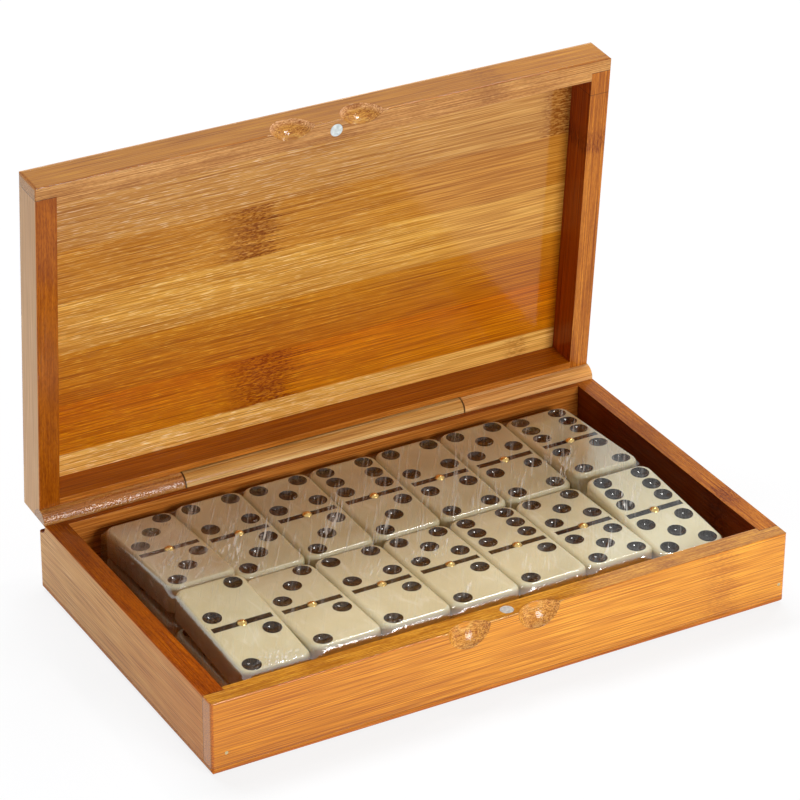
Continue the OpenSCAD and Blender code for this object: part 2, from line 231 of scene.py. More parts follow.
def bamboo(
    name, on_lid, grain, light, dark, strips=(), patches=(), seams=(), faces=(), seed=0.0,
    coat=0.4, gloss=0.12, relief=0.5, dashes=0.35, lines=1.0, bands=1.0, painted_glints=(), zones=(), scoop_tint_and_sheen=None,
    grit=0.0,
):
    """Lacquered bamboo. grain is the axis that the fibres follow, x or y.
    strips are a laminated board's strips from front to back, each with its tints at its front and back edge.
    patches are a culm's joints: (place along the grain, half length, low and high across it, strength).
    seams are dark joint lines: (axis, place, half width, strength).
    faces are tints of single faces: (axis, which side of the piece, tint); some are painted shade or sheen.
    zones are tints that grow along an axis, half as strong on level faces: (axis, where none, where full,
    tint); some are painted light or sheen.
    dashes is how strongly a rim shows cut fibres, lines how strong the dark and bright fibres are, and bands
    how much the tone wanders across the grain.
    painted_glints are painted highlights, short fibres that stand out whitish as if catching the light:
    (strength, the x where there are none, the x where they are at full strength).
    scoop_tint_and_sheen tints the inside of each finger scoop, paler partly as a painted sheen.
    grit is how grainy the lacquer is, relief how deep the grain, and coat and gloss are the lacquer's weight
    and roughness."""
    shader = Shader(name)
    place, normal = box_space(shader, on_lid)
    x, y, z = shader.split(place)
    axes = {"x": x, "y": y, "z": z}
    facing = dict(zip("xyz", shader.split(normal)))
    leaning = {axis: shader.math("ABSOLUTE", facing[axis]) for axis in "xyz"}
    flattest = shader.math("MAXIMUM", shader.math("MAXIMUM", leaning["x"], leaning["y"]), leaning["z"])
    along, across = (x, y) if grain == "x" else (y, x)
    if strips:
        index = shader.math("FLOOR", shader.fit(across, STRIP_START, STRIP_START + STRIP_W))
        along = shader.math("MULTIPLY_ADD", index, STRIP_SHIFT, along)

    def fibres(length, width, detail, offset):
        """Noise drawn out along the grain; length and width in mm."""
        spot = shader.join(
            shader.math("MULTIPLY_ADD", along, 1 / length, seed + offset),
            shader.times(across, 1 / width),
            shader.times(z, 1 / width),
        )
        return shader.noise(spot, 1.0, detail)

    def tinted(share, tint):
        return shader.mix(share, colour, shader.mix(1.0, colour, (*tint, 1), "MULTIPLY"))

    fine = fibres(32, 0.34, 1.0, 0.0)
    middle = fibres(80, 1.1, 1.0, 7.0)
    broad = fibres(200, 6.0, 1.0, 13.0)
    dark_fibre = shader.fit(fibres(24, 0.36, 0.0, 41.0), 0.57, 0.67)
    bright_fibre = shader.fit(fibres(16, 0.34, 0.0, 57.0), 0.58, 0.68)

    tone = shader.times(shader.fit(fine, 0.36, 0.64), 1 - 0.26 * bands)
    tone = shader.math("MULTIPLY_ADD", shader.fit(middle, 0.3, 0.7), 0.10 * bands, tone)
    tone = shader.math("MULTIPLY_ADD", shader.fit(broad, 0.34, 0.66), 0.16 * bands, tone)
    colour = shader.mix(tone, (*dark, 1), (*light, 1))
    if strips:
        share = shader.fit(across, STRIP_START, STRIP_START + STRIP_W * len(strips))
        stops = []
        for k, (front_tint, back_tint) in enumerate(strips):
            stops += [(k / len(strips), front_tint), ((k + 0.985) / len(strips), back_tint)]
        colour = shader.mix(1.0, colour, shader.ramp(share, stops), "MULTIPLY")
    for axis, side, tint in faces:
        colour = tinted(shader.fit(shader.times(facing[axis], side), *FACING), tint)
    colour = tinted(shader.fit(flattest, 0.99, 0.93), ARRIS)
    halved_if_level = shader.fit(leaning["z"], *FACING, 1.0, 0.5)
    for axis, start, full, tint in zones:
        colour = tinted(shader.times(shader.fit(axes[axis], start, full), halved_if_level), tint)
    colour = tinted(shader.times(dark_fibre, 0.7 * lines), DARK_FIBRE)
    colour = tinted(shader.times(bright_fibre, 0.7 * lines), PALE_FIBRE)
    # Painted highlights: short whitish fibres where the lacquer would catch the light
    for strength, none_at, full_at in painted_glints:
        painted_glint = shader.fit(fibres(4.5, 0.36, 1.0, 71.0), 0.57, 0.67)
        colour = tinted(shader.times(painted_glint, shader.fit(x, none_at, full_at, 0.0, strength)), PAINTED_GLINT)

    height = shader.math("MULTIPLY_ADD", middle, 0.5, fine)
    height = shader.math("SUBTRACT", height, shader.times(dark_fibre, 0.5))
    if dashes:
        rim = shader.fit(leaning["z"], *FACING, 0.0, dashes)
        cut = shader.times(shader.fit(fibres(9, 0.45, 1.0, 19.0), 0.42, 0.60), rim)
        cloud = shader.times(shader.fit(fibres(12, 3.0, 1.0, 37.0), 0.42, 0.62), rim)
        pore = shader.times(shader.fit(fibres(1.6, 0.4, 1.0, 29.0), 0.46, 0.62), rim)
        for share, tint in ((cut, CUT_STREAK), (cloud, CUT_STREAK), (pore, CUT_PORE)):
            colour = tinted(share, tint)
        height = shader.math("SUBTRACT", height, shader.times(pore, 0.8))

    if grit:
        height = shader.math("MULTIPLY_ADD", shader.noise(place, 1.5, 1.0, 0.6), grit, height)

    for middle_at, half, low, high, strength in patches:
        ragged = shader.math("MULTIPLY_ADD", shader.fit(fine, 0.25, 0.75, -1, 1), half * 0.8, axes[grain])
        rise = shader.fit(ragged, middle_at - half * 1.8, middle_at - half * 0.4, smooth=True)
        fall = shader.fit(ragged, middle_at + half * 0.7, middle_at + half * 1.2, 1.0, 0.0, smooth=True)
        strip = shader.between(across, low, high, 0.4)
        share = shader.times(shader.times(rise, fall), strip)
        dashed = shader.fit(fibres(1.4, 0.44, 1.0, 83.0), 0.42, 0.57, 0.3 * strength, strength)
        colour = tinted(shader.times(share, dashed), NODE_DASH)

    if scoop_tint_and_sheen:
        hollow = shader.times(shader.fit(flattest, 0.985, 0.96), shader.between(x, *SCOOP_REACH, 0.5))
        cells = shader.noise(place, 2.4, 1.0, 0.6)
        rings = shader.stretched_noise(place, (0.25, 1.2, 1.6), 2.0, 0.5, 0.6)
        speck = shader.times(shader.fit(cells, 0.42, 0.58), shader.fit(rings, 0.35, 0.6))
        # The scoop's own tint, made paler partly as a painted sheen of the reflections in it
        colour = tinted(hollow, scoop_tint_and_sheen)
        colour = tinted(shader.times(speck, hollow), SCOOP_SPECK)
        pit = shader.times(shader.math("MULTIPLY_ADD", rings, 0.5, cells), hollow)
        height = shader.math("MULTIPLY_ADD", pit, 2.0, height)

    for axis, spot, half, strength in seams:
        line = shader.between(axes[axis], spot - half, spot + half, half)
        colour = shader.mix(shader.times(line, strength), colour, SEAM_COLOUR)

    soft_edge = shader.node("Bevel", samples=4)
    soft_edge.inputs["Radius"].default_value = EDGE_R
    surface = shader.principled(
        Base_Color=colour,
        Roughness=0.5,
        Normal=shader.bump(height, relief, GRAIN_DEPTH, soft_edge.outputs[0]),
        Coat_Weight=coat,
        Coat_Roughness=gloss,
        Coat_Normal=shader.bump(height, relief * 0.5, LACQUER_DEPTH, soft_edge.outputs[0]),
    )
    surface.inputs["Specular IOR Level"].default_value = 0.06
    return shader.finish(surface.outputs[0])


def dress(material, *names):
    """Gives CAD nodes a material."""
    for name in names:
        slots = nodes[name].data.materials
        slots.clear()
        slots.append(material)


# Two pairs of wood colours, each of light and dark fibres, and a painted shade for a face inside the base
HONEY, TOFFEE = (1.0, 0.42, 0.03), (0.60, 0.185, 0.003)
TAN, BROWN = (0.80, 0.32, 0.04), (0.42, 0.125, 0.008)
SHADE = (0.50, 0.28, 0.06)
# Joints of the rails at the front corners
BASE_JOINT = ("y", -54.25, 0.16, 0.85)
LID_JOINT = ("y", -55.25, 0.16, 0.85)
# Low and high of a patch that runs right across a rail
WHOLE = (-60, 60)
PANEL_STRIPS = (
    ((0.90, 1.08, 1.85), (0.88, 0.98, 1.45)),
    ((0.85, 0.84, 0.75), (0.90, 0.88, 0.70)),
    ((1.15, 1.38, 1.70), (1.06, 1.18, 1.35)),
    ((0.94, 0.84, 0.30), (0.80, 0.54, 0.06)),
    ((0.92, 0.56, 0.01), (0.98, 0.74, 0.05)),
    ((1.40, 1.85, 3.10), (1.10, 1.25, 1.70)),
)

base_front = bamboo(
    "bamboo_base_front", False, "x", HONEY, TOFFEE, seed=3.1,
    # The scoop tint is partly a painted sheen
    coat=0.9, gloss=0.06, bands=0.45, lines=0.75, dashes=0.5, scoop_tint_and_sheen=(1.14, 1.75, 8.0),
    seams=(("z", 3.0, 0.12, 0.45),),
    patches=((76.5, 5.5, *WHOLE, 0.35), (57.5, 3.5, -59, -52, 0.5)),
    faces=(("z", 1, (0.76, 0.87, 1.5)),),
    zones=(("x", 20, -70, (0.82, 0.71, 0.35)), ("z", 4, 0.5, (0.84, 0.70, 0.40))),
)
base_back = bamboo(
    "bamboo_base_back", False, "x", TAN, BROWN, seed=5.7,
    # Both face tints are painted shade: the top face under the knuckle and the inner face behind the tiles
    faces=(("z", 1, (0.62, 0.40, 0.08)), ("y", -1, (0.80, 0.69, 0.85))),
)
base_left = bamboo(
    # The pale colours are partly a painted sheen on the outer face
    "bamboo_base_left", False, "y", (0.92, 0.48, 0.13), (0.74, 0.305, 0.065), seed=9.2,
    coat=0.35, bands=0.5, dashes=0.6,
    seams=(BASE_JOINT,),
    # The top face is tinted darker; SHADE is painted shade on the inner face
    faces=(("z", 1, (0.46, 0.22, 0.005)), ("x", 1, SHADE)),
    # The zones weaken the painted sheen towards the front and strengthen it towards the back
    zones=(("y", 10, -50, (0.88, 0.70, 0.5)), ("y", 0, 59, (1.0, 1.08, 1.3))),
)
base_right = bamboo(
    "bamboo_base_right", False, "y", TAN, BROWN, seed=11.4,
    lines=0.6, bands=1.5, dashes=0.5,
    seams=(BASE_JOINT,),
    patches=((-30, 5, 0, 120, 0.9),),
    # The first face tint darkens the inner face: painted shade
    faces=(("x", -1, (0.28, 0.113, 0.032)), ("z", 1, (0.81, 0.71, 0.42))),
    # Lighter towards the back: a painted pool of light
    zones=(("y", -10, 45, (1.16, 1.15, 1.0)),),
)
base_bottom = bamboo(
    "bamboo_base_bottom", False, "x", (0.82, 0.30, 0.04), (0.48, 0.14, 0.01), seed=15.0, coat=0.2,
)
middle_knuckle = bamboo(
    "bamboo_middle_knuckle", False, "x", (1.02, 0.69, 0.27), (0.55, 0.285, 0.075), seed=17.3,
    dashes=0.0, bands=2.0, grit=1.0,
    seams=(("x", -50.7, 0.15, 0.8), ("x", 50.7, 0.15, 0.8)),
    zones=(("x", -30, -50, (0.85, 0.80, 0.70)),),
)
panel = bamboo(
    "bamboo_panel", True, "x", (0.78, 0.348, 0.052), (0.46, 0.152, 0.012), seed=23.0, strips=PANEL_STRIPS,
    dashes=0.0, lines=0.85, coat=0.6, gloss=0.07, relief=0.4,
    # Painted highlights on the panel's left part, fading out towards the right
    painted_glints=((0.8, 60, -10),),
    zones=(("x", 40, -93, (0.92, 0.85, 0.72)),),
    patches=(
        (-20.5, 7.5, -28.75, -10.35, 1.0),
        (-15.5, 10, 26.45, 44.85, 1.0),
        (90, 5, -47.15, -28.75, 1.0),
        (79, 3.5, 44.85, 52.5, 0.5),
    ),
)
lid_front = bamboo(
    "bamboo_lid_front", True, "x", (0.76, 0.38, 0.11), (0.46, 0.185, 0.033), seed=27.0,
    # The scoop tint is partly a painted sheen
    coat=0.7, gloss=0.06, scoop_tint_and_sheen=(1.55, 2.3, 7.0),
    patches=((57, 4.5, *WHOLE, 0.4),),
    faces=(("y", -1, (0.55, 0.44, 0.12)),),
    zones=(("x", 20, 90, (1.2, 1.2, 1.0)),),
)
lid_back = bamboo(
    "bamboo_lid_back", True, "x", (0.76, 0.28, 0.03), (0.40, 0.115, 0.006), seed=31.0, dashes=0.2, lines=0.7,
    # The first face tint darkens the inner face: painted shade
    faces=(("y", -1, (0.66, 0.48, 0.02)), ("z", -1, (0.96, 0.90, 0.95))),
)
lid_left = bamboo(
    "bamboo_lid_left", True, "y", (0.485, 0.134, 0.0038), (0.415, 0.106, 0.0029), seed=35.0,
    lines=0.35, bands=0.4, dashes=0.5, relief=0.35,
    seams=(LID_JOINT,),
    # The outer face is tinted far paler and bluer: a painted sheen
    faces=(("x", -1, (1.80, 3.8, 60)),),
)
lid_right = bamboo(
    "bamboo_lid_right", True, "y", TAN, BROWN, seed=37.0, dashes=0.3, lines=0.7,
    seams=(LID_JOINT, ("y", -47.3, 0.1, 0.7)),
    patches=((-29.5, 3.5, 0, 120, 0.8),),
    # The first face tint darkens the inner face: painted shade
    faces=(("x", -1, (0.55, 0.23, 0.01)), ("z", -1, (0.99, 0.88, 0.62))),
)
left_knuckle = bamboo(
    "bamboo_left_knuckle", True, "x", (0.70, 0.31, 0.065), (0.40, 0.155, 0.021), seed=41.0,
    relief=0.9, coat=0.9, gloss=0.07, dashes=0.0, grit=4.5,
    # Painted highlights all along the knuckle
    painted_glints=((0.5, 200, 100),),
)
right_knuckle = bamboo(
    "bamboo_right_knuckle", True, "x", (1.03, 0.64, 0.26), (0.70, 0.35, 0.11), seed=43.0, dashes=0.0,
)

for node_name, material in {
    "base_front_rail": base_front,
    "base_back_rail": base_back,
    "base_left_rail": base_left,
    "base_right_rail": base_right,
    "base_bottom_panel": base_bottom,
    "base_middle_knuckle": middle_knuckle,
    "lid_top_panel": panel,
    "lid_front_rail": lid_front,
    "lid_back_rail": lid_back,
    "lid_left_rail": lid_left,
    "lid_right_rail": lid_right,
    "lid_left_knuckle": left_knuckle,
    "lid_right_knuckle": right_knuckle,
}.items():
    dress(material, node_name)


# ---------- Tiles ----------


def ivory():
    """Cast resin: cream with soft cloudy swirls, a little translucent."""
    shader = Shader("ivory_resin")
    place = shader.place()
    cloud = shader.noise(place, 0.045, 3.0, 0.55, 1.2)
    wisp = shader.stretched_noise(place, (0.22, 0.07, 0.2), 2.0, 0.6, 1.5)
    colour = shader.mix(shader.fit(cloud, 0.3, 0.7), (0.58, 0.505, 0.312, 1), (0.66, 0.595, 0.395, 1))
    colour = shader.mix(shader.times(shader.fit(wisp, 0.55, 0.75), 0.35), colour, (0.82, 0.77, 0.62, 1))
    ripple = shader.noise(place, 0.16, 1.0, 0.5)
    surface = shader.principled(
        Base_Color=colour,
        Roughness=0.22,
        Subsurface_Weight=0.35,
        Subsurface_Radius=(1.0, 0.75, 0.45),
        Subsurface_Scale=2.2 * MM,
        Normal=shader.bump(ripple, 0.12, 0.4 * MM),
        Coat_Weight=0.6,
        Coat_Roughness=0.06,
    )
    return shader.finish(surface.outputs[0])


def pip_paint():
    """Glossy black paint, a little uneven."""
    shader = Shader("pip_paint")
    patch = shader.noise(shader.place(), 0.6)
    colour = shader.mix(shader.fit(patch, 0.35, 0.65), (0.010, 0.008, 0.007, 1), (0.022, 0.018, 0.015, 1))
    surface = shader.principled(
        Base_Color=colour,
        Roughness=shader.fit(patch, 0.3, 0.7, 0.10, 0.18),
        Normal=shader.bump(patch, 0.12, 0.1 * MM),
        Coat_Weight=0.2,
        Coat_Roughness=0.04,
    )
    surface.inputs["Specular IOR Level"].default_value = 0.3
    return shader.finish(surface.outputs[0])


def metal(name, colour, worn, rough, scratch_scale):
    """Bare or plated metal with fine scratches and tarnish."""
    shader = Shader(name)
    place = shader.place()
    tarnish = shader.noise(place, 0.9, 3.0, 0.6)
    scratch = shader.noise(shader.vector_math("MULTIPLY", place, (1.0, 5.0, 1.0)), scratch_scale, 2.0, 0.6)
    surface = shader.principled(
        Base_Color=shader.mix(shader.fit(tarnish, 0.35, 0.7), (*colour, 1), (*worn, 1)),
        Metallic=1.0,
        Roughness=shader.fit(scratch, 0.3, 0.7, rough, rough + 0.15),
        Normal=shader.bump(scratch, 0.2, 0.05 * MM),
    )
    return shader.finish(surface.outputs[0])


IVORY = ivory()
PAINT = pip_paint()
BRASS = metal("spinner_brass", (0.80, 0.56, 0.22), (0.55, 0.34, 0.10), 0.18, 2.0)
BRAD_BRASS = metal("brad_brass", (0.72, 0.60, 0.32), (0.45, 0.36, 0.2), 0.3, 2.0)
NICKEL = metal("magnet_nickel", (0.80, 0.86, 0.86), (0.50, 0.56, 0.57), 0.38, 1.6)
WIRE = metal("pin_steel", (0.6, 0.6, 0.6), (0.4, 0.4, 0.4), 0.35, 2.0)

for row in (*UPPER_TILES, *LOWER_TILES):
    dress(IVORY, *["tile_" + pips for pips in row])
dress(BRASS, "upper_spinners", "lower_spinners")
dress(BRAD_BRASS, "base_brads")
dress(NICKEL, "base_magnet", "lid_magnet")
dress(WIRE, "left_hinge_pin", "right_hinge_pin")

# Sizes of the painted marks, as the tiles' hollows have them
PIP_R = 3.0 * MM
PIP_DEPTH = 1.0 * MM
PIP_COLUMN, PIP_ROW, HALF_CENTRE = 7.0 * MM, 6.775 * MM, 12.725 * MM
GROOVE_HALF_L, GROOVE_HALF_W, GROOVE_DEPTH = 10.05 * MM, 1.2 * MM, 0.5 * MM
SPINNER_R = 1.7 * MM
PAINT_T = 0.05 * MM
PAINT_GAP = 0.02 * MM
DIVIDER_DROP = 0.12 * MM
PIP_SIDES, PIP_STEPS, BITE_STEPS = 40, 8, 8
FLAT_NORMAL = 0.98


def tile_matrix(name):
    """Where a tile lies: its top face's centre, with x across the tile, y along it and z out of the face."""
    mesh = nodes[name].data
    flats = [(p.area, p.normal.copy()) for p in mesh.polygons]
    up = max((f for f in flats if f[1].z > FLAT_NORMAL), key=lambda f: f[0])[1]
    side = max((f for f in flats if f[1].x > FLAT_NORMAL), key=lambda f: f[0])[1]
    long = up.cross(side).normalized()
    side = long.cross(up).normalized()
    middle = Vector((0, 0, 0))
    for axis in (side, long):
        reach = [v.co.dot(axis) for v in mesh.vertices]
        middle += axis * (min(reach) + max(reach)) / 2
    middle += up * max(v.co.dot(up) for v in mesh.vertices)
    turn = Matrix((side, long, up)).transposed().to_4x4()
    return Matrix.Translation(middle) @ turn


def pip_spots(count):
    """Where a half tile's pips sit, in columns and rows from its middle."""
    spots = [(0, 0)] if count % 2 else []
    if count >= 2:
        spots += [(1, 1), (-1, -1)]
    if count >= 4:
        spots += [(-1, 1), (1, -1)]
    if count == 6:
        spots += [(-1, 0), (1, 0)]
    return spots


def add_shell(mesh, matrix, rings, sides):
    """Adds a closed turned form to mesh. rings are (radius, height), from the top middle round to the bottom
    middle."""
    loops = []
    for radius, height in rings:
        if radius == 0:
            loops.append([mesh.verts.new(matrix @ Vector((0, 0, height)))])
            continue
        loops.append([
            mesh.verts.new(matrix @ Vector((radius * math.cos(a), radius * math.sin(a), height)))
            for a in (2 * math.pi * k / sides for k in range(sides))
        ])
    for upper, lower in zip(loops, loops[1:]):
        for k in range(sides):
            n = (k + 1) % sides
            if len(upper) == 1:
                mesh.faces.new((upper[0], lower[k], lower[n]))
            elif len(lower) == 1:
                mesh.faces.new((upper[k], lower[0], upper[n]))
            else:
                mesh.faces.new((upper[k], lower[k], lower[n], upper[n]))


def add_slab(mesh, matrix, outline, top, bottom):
    """Adds a closed slab with that outline to mesh."""
    upper = [mesh.verts.new(matrix @ Vector((px, py, top))) for px, py in outline]
    lower = [mesh.verts.new(matrix @ Vector((px, py, bottom))) for px, py in outline]
    mesh.faces.new(upper)
    mesh.faces.new(list(reversed(lower)))
    for k in range(len(outline)):
        n = (k + 1) % len(outline)
        mesh.faces.new((upper[k], lower[k], lower[n], upper[n]))


def pip_rings():
    """A dished skin that lies on the hollow's ball, from its middle to its rim and back underneath."""
    ball = (PIP_R**2 + PIP_DEPTH**2) / (2 * PIP_DEPTH)
    rim = PIP_R - PAINT_GAP
    radii = [rim * k / PIP_STEPS for k in range(PIP_STEPS + 1)]
    dish = [(r, ball - PIP_DEPTH - math.sqrt(ball**2 - r**2)) for r in radii]
    skin = [(r, h + PAINT_T) for r, h in dish]
    under = [(r, h + PAINT_GAP / 2) for r, h in reversed(dish)]
    return skin + under


def groove_outline(side):
    """One half of the divider, with a round bite where the spinner stands."""
    inner = SPINNER_R + 2 * PAINT_GAP
    half_w = GROOVE_HALF_W - PAINT_GAP
    turn = math.asin(half_w / inner)
    bite = [
        (side * inner * math.cos(a), inner * math.sin(a))
        for a in (turn - 2 * turn * k / BITE_STEPS for k in range(BITE_STEPS + 1))
    ]
    end = side * (GROOVE_HALF_L - PAINT_GAP)
    outline = [(end, half_w), *bite, (end, -half_w)]
    return outline if side > 0 else list(reversed(outline))


def painted_marks(name, rows):
    """All the pips and dividers of one layer of tiles, as one piece."""
    mesh = bmesh.new()
    rings = pip_rings()
    for row in rows:
        for pips in row:
            matrix = tile_matrix("tile_" + pips)
            for half, count in zip((1, -1), pips.split("_")):
                for across, along in pip_spots(int(count)):
                    spot = Vector((across * PIP_COLUMN, half * HALF_CENTRE + along * PIP_ROW, 0))
                    add_shell(mesh, matrix @ Matrix.Translation(spot), rings, PIP_SIDES)
            for side in (-1, 1):
                add_slab(mesh, matrix, groove_outline(side), -DIVIDER_DROP, PAINT_GAP - GROOVE_DEPTH)
    data = bpy.data.meshes.new(name)
    bmesh.ops.recalc_face_normals(mesh, faces=mesh.faces)
    mesh.to_mesh(data)
    mesh.free()
    data.shade_smooth()
    data.materials.append(PAINT)
    piece = add_object(name, data)
    edges = piece.modifiers.new("edges", "EDGE_SPLIT")
    edges.split_angle = math.radians(40)
    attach(piece, "base")


painted_marks("upper_pips", UPPER_TILES)
painted_marks("lower_pips", LOWER_TILES)


# ---------- Shrink film ----------

FILM_LIFT = 0.07 * MM
FILM_OFF_SIDE = 0.4 * MM
FILM_T = 0.04 * MM
FILM_CELL = 0.55 * MM
FILM_EDGE_CELLS = [0.2 * MM, 0.2 * MM, 0.25 * MM, 0.3 * MM, 0.35 * MM, 0.4 * MM]
FILM_FOOT = 3.15 * MM
FILM_WRAP = 2.2 * MM
# How many cells the sheet spans over a dip at its edge, and how many rounds it takes to sag over the gaps
FILM_SPAN = 6
SAG_ROUNDS = 500
# Where the rays that feel for the tiles start: far to the side, far in front or behind, and above
FAR_X, FAR_Y, ABOVE = 0.1, 0.06, 0.04
SIDE_LEVELS = (6 * MM, 9 * MM, 12 * MM, 16 * MM, 20 * MM)
# The rounded corners of the pack, which the edge lines leave out
CORNER_X, CORNER_Y = 2 * MM, 5 * MM
# The film's walls: their levels as shares of the height, and how slack they hang
WALL_SHARES = (0.12, 0.3, 0.5, 0.7, 0.86, 1.0)
WALL_SLACK = 0.12 * MM
STRETCH_ANGLE = math.radians(-57)
CREASE_LIMIT = 0.34 * MM
CREASE_FREE_RIM, CREASE_RISE = 0.8 * MM, 1.5 * MM
# Each crease and the fainter ones beside it: share of its height, steps to the side
CREASE_BUNDLE = ((1.0, 0.0), (0.55, 1.0), (0.4, -1.0), (0.4, 2.0), (0.3, -2.0))
# The main creases, as start x and y, end x and y, sideways bend, half width and height, all in mm
CREASES = (
    (-79, 31, -62, 43, 0.8, 1.0, 0.20),
    (-76, 33, -61, 41, -0.6, 0.7, 0.14),
    (-83, 14, -68, 19, 0.6, 0.7, 0.18),
    (-80, 19, -67, 8, 0.5, 0.7, 0.18),
    (-82, 9, -66, 26, -0.8, 0.7, 0.20),
    (-77, 22, -63, 30, 0.6, 0.7, 0.16),
    (-70, 11, -38, 29, 1.4, 0.9, 0.22),
    (-57, 22, -45, 44, 0.6, 0.7, 0.18),
    (-44, 14, -30, 38, -0.7, 0.7, 0.18),
    (-74, 3, -56, 21, 0.8, 0.8, 0.14),
    (-61, 2, -43, 40, 1.2, 1.0, 0.26),
    (-60, 5, -49, 20, -0.8, 0.7, 0.20),
    (-59, 8, -46, 31, 0.5, 0.7, 0.16),
    (-50, 9, -36, 29, 0.9, 1.0, 0.26),
    (-47, 30, -33, 43, 0.7, 0.8, 0.18),
    (-41, 1, -34, 9, 0.3, 0.8, 0.16),
    (-37, 8, -29, 20, 0.5, 0.7, 0.16),
    (-31, 4, -6, 33, 1.4, 1.1, 0.26),
    (-27, 4, -17, 24, -0.8, 0.7, 0.16),
    (-24, 31, -12, 43, 0.6, 0.8, 0.16),
    (-17, 22, -5, 40, 0.8, 0.8, 0.20),
    (-13, 0, 2, 17, 0.7, 0.9, 0.24),
    (-3, 24, 9, 41, 0.8, 0.9, 0.20),
    (-26, -18, -14, -7, 0.4, 0.8, 0.16),
    (-12, -17, 1, -8, 0.5, 0.8, 0.20),
    (-2, -17, 11, -6, 0.6, 0.9, 0.22),
    (-6, -42, 3, -33, 0.4, 0.7, 0.14),
    (14, -1, 20, 9, 0.3, 0.7, 0.14),
    (18, 5, 26, 20, 0.5, 1.0, 0.22),
    (23, 0, 29, 12, -0.4, 0.8, 0.18),
    (33, 2, 42, 23, 0.8, 0.9, 0.24),
    (41, 5, 52, 17, 0.5, 0.8, 0.22),
    (38, 30, 48, 42, 0.5, 0.7, 0.14),
    (52, 2, 73, 23, 1.0, 1.0, 0.28),
    (57, 2, 68, 14, -0.6, 0.7, 0.20),
    (62, 1, 76, 18, 0.7, 0.8, 0.20),
    (19, -40, 25, -26, 0.5, 0.8, 0.18),
    (24, -42, 31, -31, 0.4, 0.7, 0.14),
    (42, -45, 55, -28, 0.7, 0.7, 0.14),
    (60, -30, 70, -9, 0.6, 0.8, 0.20),
    (66, -22, 79, -5, 0.6, 0.7, 0.18),
    (-76, -40, -60, -46, 0.9, 0.8, 0.20),
    (-80, -47, -61, -44, -0.7, 0.7, 0.18),
    (-60, -45, -38, -47, 0.8, 0.7, 0.16),
    (-38, -45, -16, -46, 0.6, 0.7, 0.14),
)


def pack_tree():
    """All the tiles as one search tree, for the film to be laid over."""
    corners, faces = [], []
    for row in (*UPPER_TILES, *LOWER_TILES):
        for pips in row:
            mesh = nodes["tile_" + pips].data
            start = len(corners)
            corners += [v.co.copy() for v in mesh.vertices]
            faces += [[start + k for k in p.vertices] for p in mesh.polygons]
    return BVHTree.FromPolygons(corners, faces), corners


def spaced(length, cell, edges):
    """Places from 0 to length, close together for the first few at both ends and one cell apart between."""
    near = np.cumsum([0, *edges])
    count = int(round((length - 2 * near[-1]) / cell))
    middle = np.linspace(near[-1], length - near[-1], count + 1)
    return np.concatenate((near[:-1], middle, length - near[:-1][::-1])) / length


def outside(values, reach):
    """Smooths a line of edge places without letting it sink below any of them."""
    wide = np.pad(values, reach, mode="edge")
    highest = np.max([wide[k : k + len(values)] for k in range(2 * reach + 1)], axis=0)
    wide = np.pad(highest, reach, mode="edge")
    return np.mean([wide[k : k + len(values)] for k in range(2 * reach + 1)], axis=0)


def pack_edge(tree, places, axis, side, far):
    """How far the pack reaches on one side at each place.
    Axis 0 is its left or right and 1 its front or back, and far is where the rays start."""
    reach = []
    for place in places:
        best = -far
        for height in SIDE_LEVELS:
            start = Vector((place, place, height))
            start[axis] = side * far
            aim = Vector((0, 0, 0))
            aim[axis] = -side
            hit = tree.ray_cast(start, aim)[0]
            if hit is not None:
                best = max(best, side * hit[axis])
        reach.append(best)
    return np.array(reach)


def crease_height(x, y):
    """How far the creases lift the film at each point."""
    rng = np.random.default_rng(12)
    lift = np.zeros_like(x)
    for x0, y0, x1, y1, bend, half, height in CREASES:
        for share, shift in CREASE_BUNDLE:
            turn = rng.uniform(-0.09, 0.09) * abs(shift)
            side = np.array([y0 - y1, x1 - x0]) / math.hypot(x1 - x0, y1 - y0)
            start = (np.array([x0, y0]) + side * shift * rng.uniform(0.8, 1.5)) * MM
            run = np.array([x1 - x0, y1 - y0]) * MM * rng.uniform(0.75, 1.0 if shift else 1.05)
            run = np.array([run[0] - turn * run[1], run[1] + turn * run[0]])
            length = math.hypot(*run)
            ahead = run / length
            along = ((x - start[0]) * ahead[0] + (y - start[1]) * ahead[1]) / length
            inside = (along > 0) & (along < 1)
            arc = np.sin(math.pi * np.clip(along, 0, 1))
            across = (y - start[1]) * ahead[0] - (x - start[0]) * ahead[1] + bend * MM * arc
            width = half * MM * (0.6 + 0.4 * arc) * (0.75 if shift else 1.0)
            ridge = np.cos(np.clip(across / width, -1, 1) * math.pi / 2) ** 2
            lift += inside * share * height * MM * ridge * arc**0.6
    return np.minimum(lift, CREASE_LIMIT)


